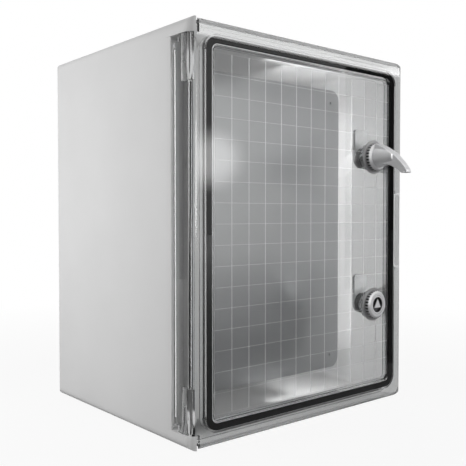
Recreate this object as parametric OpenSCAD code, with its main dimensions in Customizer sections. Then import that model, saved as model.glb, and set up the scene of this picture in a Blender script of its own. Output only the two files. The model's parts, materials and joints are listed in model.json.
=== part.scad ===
// Plastic control cabinet: a grey moulded box with a clear hinged door,
// a foam door seal, two quarter-turn locks and a steel mounting plate.
// Millimetres, +Z up. The door faces -Y. Origin: middle of the underside.

/* [Cabinet] */
// Width over the side walls
cab_w = 300; // [260:5:400]
// Height over the top and bottom walls
cab_h = 380; // [340:5:500]
// Depth from the door front to the back face
cab_d = 260; // [200:5:320]
// Thickness of the box walls
wall = 3.5; // [2.5:0.5:5]
// Rounding of the four long edges that run front to back
edge_r = 9; // [7:1:14]
// Rounding of the edges around the back face
back_r = 8; // [6:1:12]

/* [Door] */
// Thickness of the clear door plate
door_t = 3; // [2.5:0.5:4]
// Thickness of the rim that folds back around the plate
rim_t = 3; // [2.5:0.5:4]
// Depth of the door rim behind the door front
rim_d = 20; // [16:1:24]
// Rounding of the door's front edge
rim_r = 6; // [4:1:8]
// Rounding of the door's four corners
door_r = 14; // [9:1:18]
// How much lower and narrower the door is than the box, each side
door_inset = 0.8; // [0.5:0.1:2]
// Free gap between the door rim and the box behind it
rim_gap = 0.5; // [0.4:0.1:1.5]
// Height of the finger pull in the free edge
pull_h = 90; // [60:5:120]
// How far forward the finger pull cuts into the rim
pull_d = 10; // [6:1:12]

/* [Hinge] */
// Distance of the hinge axis from the hinge side face
axis_x = 4.5; // [4:0.25:6]
// Depth of the hinge axis behind the door front
axis_d = 12; // [10:0.5:14]
// Outside radius of the door knuckles
knuckle_r = 4.5; // [3.5:0.25:5.5]
// Length of each door knuckle
knuckle_l = 41; // [25:1:60]
// Radius of the hinge pins
pin_r = 2; // [1.5:0.25:2.5]
// Depth of each pin in its corner block
pin_seat = 10; // [6:1:11]
// Length of pin inside the door knuckle
pin_reach = 24; // [14:1:36]
// Height of the corner blocks that hold the pins
block_h = 14; // [12:1:18]
// Width of a corner block at the front
block_w = 8.6; // [7:0.2:10]
// How far a corner block stands behind the door front
block_back = 3; // [2.5:0.5:5]
// Rounding of a corner block's upright outer edge
block_r = 7; // [4:0.5:7]
// Free gap between door and corner block, up and down
block_gap = 0.5; // [0.4:0.1:1.5]
// Free gap between door plate and corner block, sideways
plate_gap = 1.1; // [0.6:0.1:1.5]
// Width of the rim that is left out beside a corner block
rim_relief = 6.8; // [6:0.2:10]
// Depth of the door's hinge side flap behind the door front
flap_d = 26; // [22:0.5:27]
// How much shorter the flap is than the hinge side, each end
flap_short = 6; // [2:1:12]
// Depth of the hinge channel in the box
channel_d = 36; // [32:1:44]
// Running clearance between hinge pin and knuckle
run_gap = 0.06; // [0.03:0.01:0.1]

/* [Seal] */
// Middle of the seal from the hinge side face
seal_hinge = 21.5; // [21:0.5:26]
// Middle of the seal from the other three faces
seal_in = 17.5; // [16:0.5:22]
// Width of the foam seal
seal_w = 6.5; // [5.5:0.5:8]
// Thickness of the foam seal
seal_t = 4.7; // [3.5:0.1:6]
// Corner radius at the middle of the seal
seal_r = 10; // [8:1:14]
// Thickness of the two ribs that hold the seal
rib_t = 2; // [1.5:0.25:3]
// Height of those ribs behind the door plate
rib_h = 8; // [6:0.5:9]
// Thickness of the sealing collar on the box
collar_t = 2.5; // [2:0.25:3.5]
// Free gap between the seal and the collar
seal_gap = 0.3; // [0.2:0.1:1]

/* [Locks] */
// Distance of the lock axes from the door's free side face
lock_in = 54; // [48:1:60]
// Height of the upper lock axis above the middle
lock_up = 80; // [60:1:110]
// Radius of the lock's flange on the sealing ring
flange_r = 18; // [16.5:0.5:20]
// Thickness of that flange
flange_t = 1.4; // [1:0.2:2]
// Radius of the grooved lock head
head_r = 15.5; // [14.5:0.5:16]
// Radius of the lock head's flat front face
face_r = 13; // [12.5:0.25:14]
// Height of the bevel round the front face
bevel_h = 2.2; // [1.5:0.1:3]
// Height of the lock head above its sealing ring
head_h = 7.4; // [6.8:0.2:10]
// Thickness of the lock's rubber sealing ring
ring_t = 1; // [0.6:0.2:2]
// Radius of the threaded lock barrel
barrel_r = 10.9; // [9.5:0.1:12]
// Radius of the turning lock core
core_r = 8; // [7:0.25:9]
// Radius of the core's front flange
core_flange_r = 10; // [9.5:0.25:10.5]
// Thickness of the core's front flange
core_flange_t = 5.6; // [5.2:0.1:6]
// Radius of the key recess in the core
key_r = 8.4; // [7.5:0.1:8.8]
// Depth of the key recess
key_d = 4; // [3:0.25:4.5]
// Corner radius of the three-sided key peg
peg_r = 6.2; // [5:0.2:6.6]
// Thickness of the back nut
nut_t = 5; // [4:0.5:7]
// Corner radius of the hexagonal back nut
nut_r = 15.2; // [14:0.2:17]
// Number of grip grooves round a lock head
grooves = 28; // [16:2:40]
// Radius of one grip groove
groove_r = 1; // [0.5:0.1:1.1]
// Depth of the cam plate behind the door front
cam_d = 17; // [17:0.5:20]
// Thickness of the cam plate
cam_t = 3; // [2:0.5:4]
// Half width of the cam plate
cam_half = 10.5; // [9:0.5:12]
// Reach of the cam from the lock axis
cam_l = 31.5; // [28:0.5:33]
// Corner radius of the cam's far end
cam_nose_r = 3.5; // [2:0.5:6]
// Side of the square on the core that drives the cam
drive_sq = 8; // [6:0.5:9]
// Radius of the cam screw head
cam_screw_r = 6; // [5.5:0.5:8]
// Height of the cam screw head
cam_screw_h = 3; // [2:0.5:4]
// Thread radius of the cam screw
cam_thread_r = 2.5; // [2:0.5:3]
// Length of the cam screw thread
cam_thread_l = 14; // [8:1:18]
// Free gap of turning lock faces
turn_gap = 0.3; // [0.3:0.1:0.6]
// Clearance of pieces that plug together and stay put
plug_gap = 0.1; // [0.05:0.05:0.3]

/* [Catches] */
// Height of each catch ledge on the box
catch_h = 30; // [20:2:40]
// Reach of a catch ledge past the collar
catch_w = 9; // [6:0.5:11]
// Thickness of a catch ledge
catch_t = 3.5; // [2.5:0.5:4]
// Free gap between catch ledge and cam
catch_gap = 1.5; // [1:0.25:2]

/* [Wing handle] */
// Thickness of the wing at its root
wing_t = 15; // [12:0.5:17]
// Thickness of the wing at its tip
tip_t = 8; // [6:0.5:10]
// Reach of the wing in front of the lock head
wing_l = 39; // [32:1:40]
// Radius of the wing's upper edge
wing_r = 83; // [78:1:90]
// Height of that arc's crown above the lock axis
wing_up = 19.5; // [18:0.5:21]
// How far behind the lock head that crown lies
wing_lean = 29; // [26:1:32]
// Depth of the wing's tip below the lock axis
wing_down = 18.5; // [17:0.5:20]
// Radius of the hollow under the wing
hollow_r = 40; // [36:1:46]
// How far in front of the lock head the middle of the hollow lies
hollow_x = 4.5; // [2:0.5:8]
// Depth of the wing's root below the lock axis, over the hollow
root_t = 7.5; // [6:0.5:9]
// Radius of the handle hub at the lock head
hub_r = 11.5; // [10.5:0.5:12.5]
// Radius of the handle hub at its nose
hub_nose_r = 7.5; // [6:0.5:9]
// Length of the handle hub
hub_l = 22; // [14:0.5:24]

/* [Mounting plate] */
// Depth of the plate's front face behind the door front
plate_d = 74; // [60:1:120]
// Width of the mounting plate
plate_w = 246; // [200:2:250]
// Height of the mounting plate
plate_h = 328; // [280:2:332]
// Thickness of the mounting plate
plate_t = 2; // [1.5:0.5:3]
// Corner radius of the mounting plate
plate_r = 12; // [4:1:20]
// Distance of the plate screws from the plate's edges
screw_edge = 15; // [12:1:30]
// Corner radius of the hexagonal pillars that carry the plate
pillar_r = 6; // [5:0.25:6.5]
// Length of the stud at a pillar's back end
stud_l = 8; // [5:0.5:8.5]
// Height of the bosses that carry the pillars
boss_h = 14; // [10:1:30]
// Radius of those bosses
boss_r = 7; // [6.5:0.5:9]
// Radius of the brass inserts
insert_r = 3.5; // [3:0.25:4]
// Length of the brass inserts
insert_l = 9; // [6:0.5:10]
// Thread radius of the plate screws
screw_r = 2.5; // [2:0.5:2.5]
// Thread length of the plate screws under the head
screw_l = 10; // [6:1:12]
// Radius of the countersunk plate screw heads
screw_head_r = 4.3; // [3.5:0.1:4.4]
// Corner radius of the hexagon socket in a plate screw
socket_r = 1.7; // [1.2:0.1:2]

/* [Wall fixing] */
// Radius of the wall screw holes
wall_hole_r = 3.5; // [2.5:0.25:4.5]
// Distance of the wall screw holes from the outer faces
wall_hole_in = 14; // [13:0.5:16]
// Radius of the raised pad round a wall screw hole
pad_r = 8; // [6:0.5:9]
// Height of that pad on the inside
pad_h = 3; // [2:0.5:6]

/* [Hidden] */
$fn = 96;
// overshoot of cuts, so that they break the surface
cut = 1;
left = -cab_w / 2;
right = cab_w / 2;
mid_z = cab_h / 2;
hinge_x = left + axis_x;
box_front = rim_d + rim_gap;
collar_front = door_t + seal_t + seal_gap;
channel_in = left + seal_hinge - collar_t / 2;
lock_x = right - lock_in;
lock_zs = [mid_z + lock_up, mid_z - lock_up];
head_front = -ring_t - head_h;
barrel_end = cam_d - turn_gap;
plate_screw_x = plate_w / 2 - screw_edge;
plate_screw_z = plate_h / 2 - screw_edge;
boss_front = cab_d - wall - boss_h;
plate_back = plate_d + plate_t;
wall_hole_x = right - wall_hole_in;
wall_hole_z = mid_z - wall_hole_in;
knuckle_low = block_h + block_gap;
knuckle_high = cab_h - knuckle_low;

// Y of a depth that is counted from the door front
function at(depth) = depth - cab_d / 2;

// An outline drawn in X and Z, pulled along Y between two depths
module slab(from, to) {
  translate([0, at(to), 0])
    rotate([90, 0, 0])
      linear_extrude(to - from) children();
}

// An outline drawn in Y and Z, pulled along X between two places
module side_slab(from, to) {
  translate([from, 0, 0])
    rotate([90, 0, 90])
      linear_extrude(to - from) children();
}

// A round bar along Y between two depths, on the axis of a lock or screw
module bar(x, z, r, from, to) {
  translate([x, at(to), z])
    rotate([90, 0, 0])
      cylinder(r = r, h = to - from);
}

// A block given by its lowest and highest X, depth and Z
module block(x, depth, z) {
  translate([x[0], at(depth[0]), z[0]])
    cube([x[1] - x[0], depth[1] - depth[0], z[1] - z[0]]);
}

// Rectangle with round corners, from its low corner to its high corner
module round_rect(low, high, r) {
  size = high - low;
  translate(low) {
    translate([r, 0]) square([size[0] - 2 * r, size[1]]);
    translate([0, r]) square([size[0], size[1] - 2 * r]);
    for (x = [r, size[0] - r], z = [r, size[1] - r])
      translate([x, z]) circle(r);
  }
}

// Strip of a given length whose two far corners are round
module nosed(length, wide, r) {
  translate([0, -wide / 2]) square([length - r, wide]);
  translate([0, r - wide / 2]) square([length, wide - 2 * r]);
  for (side = [-1, 1])
    translate([length - r, side * (wide / 2 - r)]) circle(r);
}

// Prism with round long edges and round edges about its back face
module back_box(from, to, inset, long_r, end_r) {
  wide = cab_w - 2 * inset;
  high = cab_h - 2 * inset;
  intersection() {
    slab(from, to)
      round_rect([left + inset, inset], [right - inset, cab_h - inset], long_r);
    side_slab(left, right)
      translate([at(from), mid_z]) nosed(to - from, high, end_r);
    linear_extrude(cab_h)
      translate([0, at(from)]) rotate(90) nosed(to - from, wide, end_r);
  }
}

// Prism with round long edges and round edges about its front face
module front_box(to, inset, long_r, end_r) {
  wide = cab_w - 2 * inset;
  high = cab_h - 2 * inset;
  intersection() {
    slab(0, to)
      round_rect([left + inset, inset], [right - inset, cab_h - inset], long_r);
    side_slab(left, right)
      translate([at(to), mid_z]) rotate(180) nosed(to, high, end_r);
    linear_extrude(cab_h)
      translate([0, at(to)]) rotate(-90) nosed(to, wide, end_r);
  }
}

// Outline that follows the seal's middle line, grown by a distance
module seal_outline(grow) {
  round_rect([left + seal_hinge - grow, seal_in - grow],
             [right - seal_in + grow, cab_h - seal_in + grow], seal_r + grow);
}

// Frame about the seal's middle line, between two depths
module seal_frame(inner, outer, from, to) {
  difference() {
    slab(from, to) seal_outline(outer);
    slab(from - cut, to + cut) seal_outline(inner);
  }
}

// The four places of a pattern that is mirrored about the middle
module four(x, z) {
  for (sx = [-1, 1], sz = [-1, 1])
    translate([sx * x, 0, mid_z + sz * z]) children();
}

// A piece of the lower end, and its mirror image at the upper end
module both_ends() {
  children();
  translate([0, 0, cab_h]) mirror([0, 0, 1]) children();
}

// Grey box with its front flange, sealing collar, hinge channel, corner
// blocks, catch ledges, pillar bosses and wall fixing holes
module body_shell() {
  color("gainsboro")
  difference() {
    union() {
      difference() {
        back_box(box_front, cab_d, 0, edge_r, back_r);
        back_box(box_front + wall, cab_d - wall, wall, edge_r - wall, back_r - wall);
      }
      hinge_channel();
      slab(collar_front, box_front + cut) seal_outline(collar_t / 2);
      both_ends() corner_block();
      four(plate_screw_x, plate_screw_z) bar(0, 0, boss_r, boss_front, cab_d - wall / 2);
      four(wall_hole_x, wall_hole_z) bar(0, 0, pad_r, cab_d - wall - pad_h, cab_d - wall / 2);
    }
    mouth();
    block([left - cut, channel_in], [-cut, channel_d], [block_h, cab_h - block_h]);
    both_ends()
      translate([hinge_x, at(axis_d), block_h - pin_seat]) cylinder(r = pin_r, h = pin_seat + cut);
    four(plate_screw_x, plate_screw_z) bar(0, 0, insert_r, boss_front - cut, boss_front + insert_l);
    four(wall_hole_x, wall_hole_z) bar(0, 0, wall_hole_r, cab_d - wall - pad_h - cut, cab_d + cut);
  }
}

// The opening inside the collar, less the two catch ledges
module mouth() {
  catch_back = cam_d - catch_gap;
  difference() {
    slab(-cut, channel_d + wall + cut) seal_outline(-collar_t / 2);
    for (z = lock_zs)
      block([right - seal_in - collar_t / 2 - catch_w, right], [catch_back - catch_t, catch_back],
            [z - catch_h / 2, z + catch_h / 2]);
  }
}

// Thick corner of the box that the hinge channel is cut from
module hinge_channel() {
  intersection() {
    back_box(box_front, cab_d, 0, edge_r, back_r);
    block([left, channel_in + collar_t], [box_front, channel_d + wall], [0, cab_h]);
  }
}

// Block beside the door's hinge corner that carries a hinge pin
module corner_block() {
  back = box_front + wall;
  intersection() {
    slab(block_back, back) round_rect([left, 0], [right, cab_h], edge_r);
    linear_extrude(block_h)
      round_rect([left, at(block_back)], [left + 2 * block_w, at(back + block_w)], block_r);
    block([left, left + block_w], [block_back, back], [0, block_h]);
  }
}

// Flat head of a plate screw, or the hole for it when it is grown by a gap
module screw_cone(gap) {
  head_h = screw_head_r - screw_r;
  translate([0, at(plate_d), 0])
    rotate([-90, 0, 0]) cylinder(r1 = screw_head_r + gap, r2 = screw_r + gap, h = head_h);
}

// Steel plate on the pillars, with a countersunk hole over each
module mounting_plate() {
  color("dimgray")
  difference() {
    slab(plate_d, plate_back)
      round_rect([-plate_w / 2, mid_z - plate_h / 2], [plate_w / 2, mid_z + plate_h / 2], plate_r);
    four(plate_screw_x, plate_screw_z) {
      screw_cone(plug_gap);
      bar(0, 0, screw_r + plug_gap, plate_d - cut, plate_back + cut);
    }
  }
}

// Four countersunk screws that hold the plate on the pillars
module plate_screws() {
  color("silver")
  four(plate_screw_x, plate_screw_z)
    difference() {
      union() {
        screw_cone(0);
        bar(0, 0, screw_r, plate_d, plate_d + screw_l);
      }
      translate([0, at(plate_d + socket_r), 0]) rotate([90, 0, 0])
        cylinder(r = socket_r, h = socket_r + cut, $fn = 6);
    }
}

// Four hexagonal pillars, tapped in front and with a stud at the back
module plate_pillars() {
  color("silver")
  four(plate_screw_x, plate_screw_z)
    difference() {
      union() {
        translate([0, at(boss_front), 0]) rotate([90, 0, 0])
          cylinder(r = pillar_r, h = boss_front - plate_back, $fn = 6);
        bar(0, 0, screw_r, boss_front - cut, boss_front + stud_l);
      }
      bar(0, 0, screw_r + plug_gap, plate_back - cut, plate_d + screw_l + cut);
    }
}

// Brass inserts pressed into the bosses for the studs of the pillars
module brass_inserts() {
  color("goldenrod")
  four(plate_screw_x, plate_screw_z)
    difference() {
      bar(0, 0, insert_r, boss_front, boss_front + insert_l);
      bar(0, 0, screw_r + plug_gap, boss_front - cut, boss_front + insert_l + cut);
    }
}

// Steel pin from a corner block into the door knuckle, at the lower end
module hinge_pin() {
  translate([hinge_x, at(axis_d), block_h - pin_seat])
    cylinder(r = pin_r, h = pin_seat + block_gap + pin_reach);
}

module hinge_pin_bottom() {
  color("silver") hinge_pin();
}

module hinge_pin_top() {
  color("silver")
  translate([0, 0, cab_h]) mirror([0, 0, 1]) hinge_pin();
}

// Clear door: plate, rim, seal ribs, hinge flap and knuckles in one moulding
module door_panel() {
  color("lightsteelblue", 0.4)
  difference() {
    union() {
      difference() {
        front_box(rim_d, door_inset, door_r, rim_r);
        slab(door_t, rim_d + cut)
          round_rect([left + door_inset + rim_t, door_inset + rim_t],
                     [right - door_inset - rim_t, cab_h - door_inset - rim_t], door_r - rim_t);
      }
      seal_frame(seal_w / 2, seal_w / 2 + rib_t, door_t - cut, door_t + rib_h);
      seal_frame(-seal_w / 2 - rib_t, -seal_w / 2, door_t - cut, door_t + rib_h);
      block([left + door_inset, left + door_inset + rim_t], [rim_d - cut, flap_d],
            [knuckle_low + flap_short, knuckle_high - flap_short]);
      both_ends() knuckle();
    }
    both_ends() corner_relief();
    both_ends()
      translate([hinge_x, at(axis_d), knuckle_low - cut])
        cylinder(r = pin_r + run_gap, h = pin_reach + 2 * cut);
    for (z = lock_zs) bar(lock_x, z, barrel_r + plug_gap, -cut, door_t + cut);
    finger_pull();
  }
}

// Eye at the hinge axis with the web that joins it to the door plate
module knuckle() {
  translate([hinge_x, at(axis_d), knuckle_low])
    cylinder(r = knuckle_r, h = knuckle_l);
  block([hinge_x - rim_t / 2, hinge_x + rim_t / 2], [door_t - cut, axis_d - pin_r - rim_t / 2],
        [knuckle_low, knuckle_low + knuckle_l]);
}

// Room about a corner block, so that the rim clears it as the door swings
module corner_relief() {
  block([left - cut, left + block_w + plate_gap], [-cut, flap_d + cut], [-cut, knuckle_low]);
  block([left - cut, left + block_w + rim_relief], [door_t, flap_d + cut], [-cut, knuckle_low]);
}

// Slot in the free side of the rim for the fingers
module finger_pull() {
  block([right - door_inset - rim_t - cut, right + cut], [rim_d - pull_d, rim_d + cut],
        [mid_z - pull_h / 2, mid_z + pull_h / 2]);
}

// Black foam seal between the two ribs
module door_seal() {
  color("black") seal_frame(-seal_w / 2, seal_w / 2, door_t, door_t + seal_t);
}

// Lock housing: flange and grooved, beveled head outside, threaded barrel through the door
module lock_housing(z) {
  color("lightgray")
  difference() {
    union() {
      bar(lock_x, z, flange_r, -ring_t - flange_t, -ring_t);
      bar(lock_x, z, head_r, head_front + bevel_h, -ring_t);
      translate([lock_x, at(head_front + bevel_h), z]) rotate([90, 0, 0])
        cylinder(r1 = head_r, r2 = face_r, h = bevel_h);
      bar(lock_x, z, barrel_r, -ring_t - cut, barrel_end);
    }
    bar(lock_x, z, core_r + run_gap, head_front - cut, barrel_end + cut);
    bar(lock_x, z, core_flange_r + turn_gap, head_front - cut,
        head_front + core_flange_t + turn_gap);
    for (i = [0 : grooves - 1])
      translate([lock_x, 0, z]) rotate([0, i * 360 / grooves, 0])
        bar(head_r, 0, groove_r, head_front - cut, -ring_t - flange_t - groove_r);
  }
}

// Rubber ring between the lock flange and the door
module lock_ring(z) {
  color("dimgray")
  difference() {
    bar(lock_x, z, flange_r - ring_t, -ring_t, 0);
    bar(lock_x, z, barrel_r, -ring_t - cut, cut);
  }
}

// Hexagonal nut on the barrel, against the back of the door plate
module lock_nut(z) {
  color("silver")
  difference() {
    translate([lock_x, at(door_t + nut_t), z]) rotate([90, 0, 0])
      cylinder(r = nut_r, h = nut_t, $fn = 6);
    bar(lock_x, z, barrel_r + plug_gap, door_t - cut, door_t + nut_t + cut);
  }
}

// Turning core: flange, key recess with a three-sided peg, square for the cam
module lock_core(z) {
  key_floor = head_front + key_d;
  drive_end = cam_d + cam_t - plug_gap;
  color("gray")
  difference() {
    union() {
      bar(lock_x, z, core_flange_r, head_front, head_front + core_flange_t);
      bar(lock_x, z, core_r, head_front, cam_d);
      block([lock_x - drive_sq / 2, lock_x + drive_sq / 2], [cam_d - cut, drive_end],
            [z - drive_sq / 2, z + drive_sq / 2]);
    }
    difference() {
      bar(lock_x, z, key_r, head_front - cut, key_floor);
      translate([lock_x, at(key_floor), z]) rotate([90, -90, 0])
        cylinder(r = peg_r, h = key_d - plug_gap, $fn = 3);
    }
    bar(lock_x, z, cam_thread_r + plug_gap, drive_end - cam_thread_l - cut, drive_end + cut);
  }
}

// Steel cam, at rest pointing up, that turns behind a catch ledge
module lock_cam(z) {
  hole = drive_sq / 2 + plug_gap;
  color("darkgray")
  difference() {
    slab(cam_d, cam_d + cam_t)
      translate([lock_x, z]) {
        circle(cam_half);
        rotate(90) nosed(cam_l, 2 * cam_half, cam_nose_r);
      }
    block([lock_x - hole, lock_x + hole], [cam_d - cut, cam_d + cam_t + cut], [z - hole, z + hole]);
  }
}

// Screw that clamps the cam on the core
module cam_screw(z) {
  head_seat = cam_d + cam_t;
  color("silver")
  difference() {
    union() {
      bar(lock_x, z, cam_screw_r, head_seat, head_seat + cam_screw_h);
      bar(lock_x, z, cam_thread_r, head_seat - cam_thread_l, head_seat + cut);
    }
    translate([lock_x, at(head_seat + cam_screw_h), z]) rotate([90, 0, 0])
      cylinder(r = cam_screw_r / 2, h = cam_screw_h / 2, $fn = 6);
  }
}

// Wing handle plugged on the peg of the upper lock: hub and drooping wing
module wing_handle() {
  z = lock_zs[0];
  key_floor = head_front + key_d;
  color("silver")
  difference() {
    union() {
      intersection() {
        translate([lock_x, at(head_front), z]) rotate([90, 0, 0])
          cylinder(r1 = hub_r, r2 = hub_nose_r, h = hub_l);
        under_arc(z);
      }
      bar(lock_x, z, key_r - plug_gap, head_front - cut, key_floor - plug_gap);
      wing_blade(z);
    }
    translate([lock_x, at(key_floor), z]) rotate([90, -90, 0])
      cylinder(r = peg_r + 2 * plug_gap, h = key_d, $fn = 3);
  }
}

// All that lies under the arc of the wing's upper edge
module under_arc(z) {
  side_slab(lock_x - hub_r, lock_x + hub_r)
    translate([at(head_front) + wing_lean, z + wing_up - wing_r]) circle(wing_r);
}

// Blade of the handle: two arcs seen from the side, tapered seen from above
module wing_blade(z) {
  intersection() {
    under_arc(z);
    side_slab(lock_x - wing_t / 2, lock_x + wing_t / 2)
      translate([at(head_front), z])
        difference() {
          translate([-wing_l, -wing_down]) square([wing_l, wing_down + wing_up]);
          translate([-hollow_x, -root_t - hollow_r]) circle(hollow_r);
        }
    translate([lock_x, at(head_front), z - wing_down - cut])
      linear_extrude(wing_down + wing_up + cut)
        polygon([[-wing_t / 2, 0], [-tip_t / 2, -wing_l], [tip_t / 2, -wing_l], [wing_t / 2, 0]]);
  }
}

module upper_lock_housing() { lock_housing(lock_zs[0]); }
module upper_lock_ring() { lock_ring(lock_zs[0]); }
module upper_lock_nut() { lock_nut(lock_zs[0]); }
module upper_lock_core() { lock_core(lock_zs[0]); }
module upper_cam() { lock_cam(lock_zs[0]); }
module upper_cam_screw() { cam_screw(lock_zs[0]); }
module lower_lock_housing() { lock_housing(lock_zs[1]); }
module lower_lock_ring() { lock_ring(lock_zs[1]); }
module lower_lock_nut() { lock_nut(lock_zs[1]); }
module lower_lock_core() { lock_core(lock_zs[1]); }
module lower_cam() { lock_cam(lock_zs[1]); }
module lower_cam_screw() { cam_screw(lock_zs[1]); }

body_shell();
mounting_plate();
plate_screws();
plate_pillars();
brass_inserts();
hinge_pin_top();
hinge_pin_bottom();
door_panel();
door_seal();
upper_lock_housing();
upper_lock_ring();
upper_lock_nut();
upper_lock_core();
upper_cam();
upper_cam_screw();
wing_handle();
lower_lock_housing();
lower_lock_ring();
lower_lock_nut();
lower_lock_core();
lower_cam();
lower_cam_screw();
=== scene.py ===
# %% [markdown]
# A plastic control cabinet, dressed in Blender.
# The imported solids hold every size and every joint, so this lesson only adds what a photograph shows on top
# of them: a finish for each piece, with painted shade on the locks and cams, rounded edges, a soft foam seal,
# squeezed lock rings, the moulded grid of the door, the fine bright edges of its clear moulding as painted
# highlights and the thin lip of the box beside the hinge.
# All lengths are in metres, +Z is up, and the door faces -Y.

# %% Load the frame
import json
import math

import bpy
import bmesh
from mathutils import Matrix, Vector


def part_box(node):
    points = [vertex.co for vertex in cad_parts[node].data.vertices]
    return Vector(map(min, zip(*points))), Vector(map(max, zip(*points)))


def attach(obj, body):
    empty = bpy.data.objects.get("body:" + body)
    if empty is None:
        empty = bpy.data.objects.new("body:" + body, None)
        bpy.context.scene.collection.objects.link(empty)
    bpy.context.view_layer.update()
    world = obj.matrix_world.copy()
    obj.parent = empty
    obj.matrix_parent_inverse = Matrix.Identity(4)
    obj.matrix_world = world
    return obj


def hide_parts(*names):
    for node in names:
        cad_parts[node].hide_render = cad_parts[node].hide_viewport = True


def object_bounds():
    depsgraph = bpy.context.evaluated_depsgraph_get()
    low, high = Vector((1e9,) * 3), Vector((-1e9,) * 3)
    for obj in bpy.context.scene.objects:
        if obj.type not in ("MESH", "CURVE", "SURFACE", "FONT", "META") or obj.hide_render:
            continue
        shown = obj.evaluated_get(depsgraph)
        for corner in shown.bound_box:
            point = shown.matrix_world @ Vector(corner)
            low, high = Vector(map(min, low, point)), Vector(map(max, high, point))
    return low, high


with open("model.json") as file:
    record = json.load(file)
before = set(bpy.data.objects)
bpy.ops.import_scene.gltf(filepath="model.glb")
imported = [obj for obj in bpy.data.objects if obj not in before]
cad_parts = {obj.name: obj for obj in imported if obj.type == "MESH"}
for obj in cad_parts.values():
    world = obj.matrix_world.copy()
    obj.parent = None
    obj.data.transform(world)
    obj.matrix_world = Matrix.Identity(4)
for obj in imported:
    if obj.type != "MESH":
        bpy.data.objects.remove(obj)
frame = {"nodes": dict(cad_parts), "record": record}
nodes = frame["nodes"]
cad_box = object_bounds()
MM = 0.001

# %% [markdown]
# The camera stands a little over half a metre from the hinge edge, just above mid height. It could be placed
# by eye, but its place, turn and focal length were fitted to the outline of the box in a square picture, so
# no shift is needed. Depth of field stays off. The clear rim of the door guides light through many inner
# reflections before it leaves, so the render may follow more bounces than usual.
# Operators act on all that is selected, and loading leaves the solids selected, so each step begins with
# nothing selected.

# %% Camera
CAMERA_PLACE = Vector((-0.4986, -0.6016, 0.2087))
CAMERA_TURN = math.radians(40.034)
CAMERA_DIP = math.radians(1.612)
FOCAL_PIXELS = 680.8
PICTURE_PIXELS = 466
SENSOR_MM = 36
GLOSSY_BOUNCES = 12
ALL_BOUNCES = 24
UPRIGHT = math.pi / 2


def begin():
    """Deselects everything, so the next operator acts on new things only."""
    bpy.ops.object.select_all(action="DESELECT")


begin()
bpy.ops.object.camera_add(location=CAMERA_PLACE, rotation=(UPRIGHT - CAMERA_DIP, 0, -CAMERA_TURN))
camera = bpy.context.object
camera.name = "camera"
camera.data.sensor_width = SENSOR_MM
camera.data.lens = SENSOR_MM * FOCAL_PIXELS / PICTURE_PIXELS
bpy.context.scene.camera = camera
bpy.context.scene.view_settings.view_transform = "Standard"
bpy.context.scene.cycles.glossy_bounces = GLOSSY_BOUNCES
bpy.context.scene.cycles.max_bounces = ALL_BOUNCES
print("lens in mm:", round(camera.data.lens, 2))

# %% [markdown]
# Surfaces and the room are made of shader nodes. They could be wired by hand in the node editor. In a script,
# short helpers keep that readable. One starts a material, one feeds an input with a number or with another
# node, and one adds a node with its settings and inputs. Three more do sums, ramps and mixes.

# %% Nodes and links
def new_material(name):
    """An empty node material and its tree."""
    material = bpy.data.materials.new(name)
    material.use_nodes = True
    material.node_tree.nodes.clear()
    return material, material.node_tree


def feed(tree, socket, value):
    """Gives an input a number or a colour, or links it to another node's output."""
    if isinstance(value, bpy.types.NodeSocket):
        tree.links.new(value, socket)
    else:
        socket.default_value = value


def add(tree, kind, **values):
    """A node of one kind with some of its settings and inputs; an underscore stands for a space."""
    node = tree.nodes.new(kind)
    for key, value in values.items():
        label = key.replace("_", " ")
        if label in node.inputs:
            feed(tree, node.inputs[label], value)
        else:
            setattr(node, key, value)
    return node


print("helpers for nodes: new_material, feed, add")

# %% Sums, ramps and mixed shaders
def sums(tree, operation, value, other=0.0):
    """A math node on a value with a number or with another value."""
    node = add(tree, "ShaderNodeMath", operation=operation)
    feed(tree, node.inputs[0], value)
    feed(tree, node.inputs[1], other)
    return node.outputs[0]


def ramp(tree, value, start, end, first, last, shape="LINEAR"):
    """A value mapped from start and end to first and last, and held there beyond them."""
    node = add(tree, "ShaderNodeMapRange", interpolation_type=shape, Value=value)
    for label, limit in (("From Min", start), ("From Max", end), ("To Min", first), ("To Max", last)):
        feed(tree, node.inputs[label], limit)
    return node.outputs["Result"]


def mixed(tree, factor, first, second):
    """One shader where the factor is 0 and another where it is 1."""
    node = add(tree, "ShaderNodeMixShader")
    feed(tree, node.inputs[0], factor)
    feed(tree, node.inputs[1], first.outputs[0])
    feed(tree, node.inputs[2], second.outputs[0])
    return node.outputs[0]


print("helpers for values: sums, ramp, mixed")

# %% [markdown]
# A clear door needs something to reflect. A picture of a real room could stand round it, but a plain white
# world keeps the light even. It is white to the camera, a little darker in gloss and through clear plastic,
# and it lights surfaces less than that, so that pale plastic keeps its tone.

# %% White room
WHITE = (1, 1, 1, 1)
ROOM_SEEN = 0.62
ROOM_FILL = 0.22


def seen_by_eye(tree):
    """Factor that is 1 for rays that show the room, and 0 for rays that only light a surface."""
    path = add(tree, "ShaderNodeLightPath").outputs
    mirrored = sums(tree, "MAXIMUM", path["Is Glossy Ray"], path["Is Transmission Ray"])
    direct = sums(tree, "MAXIMUM", path["Is Camera Ray"], mirrored)
    return sums(tree, "MULTIPLY", direct, sums(tree, "LESS_THAN", path["Diffuse Depth"], 1))


def seen_level(tree):
    """Strength of the white room: 1 for the camera, less in gloss and through clear plastic."""
    path = add(tree, "ShaderNodeLightPath").outputs
    return ramp(tree, path["Is Camera Ray"], 0, 1, ROOM_SEEN, 1)


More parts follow.
